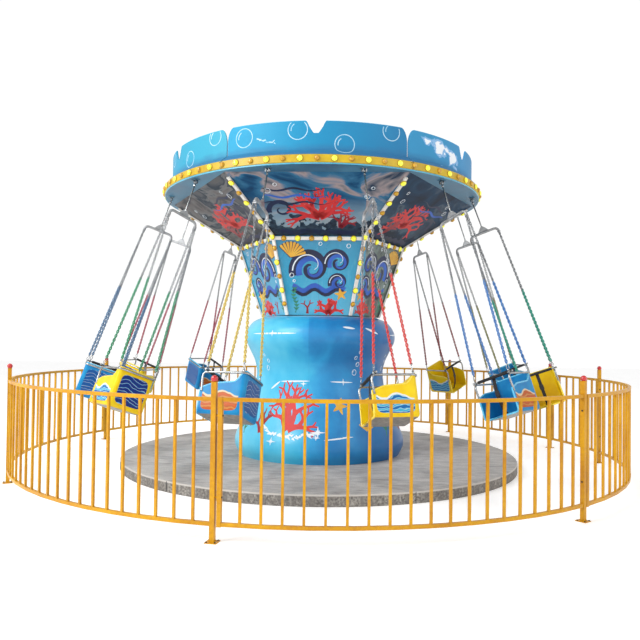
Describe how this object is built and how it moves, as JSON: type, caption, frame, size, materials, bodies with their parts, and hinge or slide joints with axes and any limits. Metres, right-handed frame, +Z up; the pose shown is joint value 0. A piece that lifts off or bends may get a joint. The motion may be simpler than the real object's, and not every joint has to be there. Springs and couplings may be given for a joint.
{
  "type": "chair swing ride",
  "caption": "Child-size chair swing ride: vase-shaped pedestal, turning tower and round canopy with bucket chairs on chains, inside a ring fence with a gate.",
  "frame": {"origin": "on the turning axis, at the plinth's underside, at ground level", "axes": "+Z up along the turning axis; -Y to the front, through the middle of a tower face and of crest_1"},
  "size_m": [7.5629, 7.5293, 3.887],
  "materials": {
    "plinth_stone": "matte",
    "pedestal_shell": "gloss",
    "bearing_steel": "satin",
    "tower_panel": "gloss",
    "funnel_panel": "satin",
    "deck_paint": "satin",
    "rim_yellow": "gloss",
    "roof_shell": "satin",
    "crest_shell": "gloss",
    "strip_aluminium": "satin",
    "hanger_steel": "satin",
    "seat_blue": "gloss",
    "seat_yellow": "gloss",
    "fence_paint": "gloss"
  },
  "bodies": {
    "root": {"base_plinth": "plinth_stone", "pedestal": "pedestal_shell", "slew_ring": "bearing_steel", "fence_bay_1_left": "fence_paint", "fence_bay_1_right": "fence_paint", "fence_bay_2_left": "fence_paint", "fence_bay_2_right": "fence_paint", "fence_bay_3_left": "fence_paint", "fence_bay_3_right": "fence_paint", "fence_bay_4_left": "fence_paint", "fence_bay_4_right": "fence_paint", "fence_bay_5_left": "fence_paint", "fence_bay_5_right": "fence_paint", "fence_bay_6_left": "fence_paint", "fence_bay_6_right": "fence_paint", "fence_bay_7_left": "fence_paint", "fence_bay_7_right": "fence_paint", "gate_post": "fence_paint"},
    "rotor": {"tower": "tower_panel", "funnel": "funnel_panel", "canopy_deck": "deck_paint", "rim_band": "rim_yellow", "roof_cone": "roof_shell", "light_frame": "strip_aluminium", "crest_1": "crest_shell", "crest_2": "crest_shell", "crest_3": "crest_shell", "crest_4": "crest_shell", "crest_5": "crest_shell", "crest_6": "crest_shell"},
    "chair_01": {"chair_hanger_01": "hanger_steel", "chair_seat_01": "seat_blue"},
    "chair_02": {"chair_hanger_02": "hanger_steel", "chair_seat_02": "seat_yellow"},
    "chair_03": {"chair_hanger_03": "hanger_steel", "chair_seat_03": "seat_blue"},
    "chair_04": {"chair_hanger_04": "hanger_steel", "chair_seat_04": "seat_yellow"},
    "chair_05": {"chair_hanger_05": "hanger_steel", "chair_seat_05": "seat_blue"},
    "chair_06": {"chair_hanger_06": "hanger_steel", "chair_seat_06": "seat_yellow"},
    "chair_07": {"chair_hanger_07": "hanger_steel", "chair_seat_07": "seat_blue"},
    "chair_08": {"chair_hanger_08": "hanger_steel", "chair_seat_08": "seat_yellow"},
    "chair_09": {"chair_hanger_09": "hanger_steel", "chair_seat_09": "seat_blue"},
    "chair_10": {"chair_hanger_10": "hanger_steel", "chair_seat_10": "seat_yellow"},
    "chair_11": {"chair_hanger_11": "hanger_steel", "chair_seat_11": "seat_blue"},
    "chair_12": {"chair_hanger_12": "hanger_steel", "chair_seat_12": "seat_yellow"},
    "gate": {"gate_leaf": "fence_paint"}
  },
  "joints": [
    {"name": "rotor_spin", "type": "hinge", "parent": "root", "child": "rotor", "pos_m": [0, 0, 1.896], "axis": [0, 0, 1], "continuous": true},
    {"name": "chair_01_swing", "type": "hinge", "parent": "rotor", "child": "chair_01", "pos_m": [-0.50987, -1.90287, 3.37], "axis": [-0.9659, 0.2588, 0], "range_deg": [-30, 8]},
    {"name": "chair_02_swing", "type": "hinge", "parent": "rotor", "child": "chair_02", "pos_m": [0.50987, -1.90287, 3.37], "axis": [-0.9659, -0.2588, 0], "range_deg": [-30, 8]},
    {"name": "chair_03_swing", "type": "hinge", "parent": "rotor", "child": "chair_03", "pos_m": [1.393, -1.393, 3.37], "axis": [-0.7071, -0.7071, 0], "range_deg": [-30, 8]},
    {"name": "chair_04_swing", "type": "hinge", "parent": "rotor", "child": "chair_04", "pos_m": [1.90287, -0.50987, 3.37], "axis": [-0.2588, -0.9659, 0], "range_deg": [-30, 8]},
    {"name": "chair_05_swing", "type": "hinge", "parent": "rotor", "child": "chair_05", "pos_m": [1.90287, 0.50987, 3.37], "axis": [0.2588, -0.9659, 0], "range_deg": [-30, 8]},
    {"name": "chair_06_swing", "type": "hinge", "parent": "rotor", "child": "chair_06", "pos_m": [1.393, 1.393, 3.37], "axis": [0.7071, -0.7071, 0], "range_deg": [-30, 8]},
    {"name": "chair_07_swing", "type": "hinge", "parent": "rotor", "child": "chair_07", "pos_m": [0.50987, 1.90287, 3.37], "axis": [0.9659, -0.2588, 0], "range_deg": [-30, 8]},
    {"name": "chair_08_swing", "type": "hinge", "parent": "rotor", "child": "chair_08", "pos_m": [-0.50987, 1.90287, 3.37], "axis": [0.9659, 0.2588, 0], "range_deg": [-30, 8]},
    {"name": "chair_09_swing", "type": "hinge", "parent": "rotor", "child": "chair_09", "pos_m": [-1.393, 1.393, 3.37], "axis": [0.7071, 0.7071, 0], "range_deg": [-30, 8]},
    {"name": "chair_10_swing", "type": "hinge", "parent": "rotor", "child": "chair_10", "pos_m": [-1.90287, 0.50987, 3.37], "axis": [0.2588, 0.9659, 0], "range_deg": [-30, 8]},
    {"name": "chair_11_swing", "type": "hinge", "parent": "rotor", "child": "chair_11", "pos_m": [-1.90287, -0.50987, 3.37], "axis": [-0.2588, 0.9659, 0], "range_deg": [-30, 8]},
    {"name": "chair_12_swing", "type": "hinge", "parent": "rotor", "child": "chair_12", "pos_m": [-1.393, -1.393, 3.37], "axis": [-0.7071, 0.7071, 0], "range_deg": [-30, 8]},
    {"name": "gate_swing", "type": "hinge", "parent": "root", "child": "gate", "pos_m": [3.52164, 1.36825, 0.32], "axis": [0, 0, 1], "range_deg": [0, 100]}
  ]
}
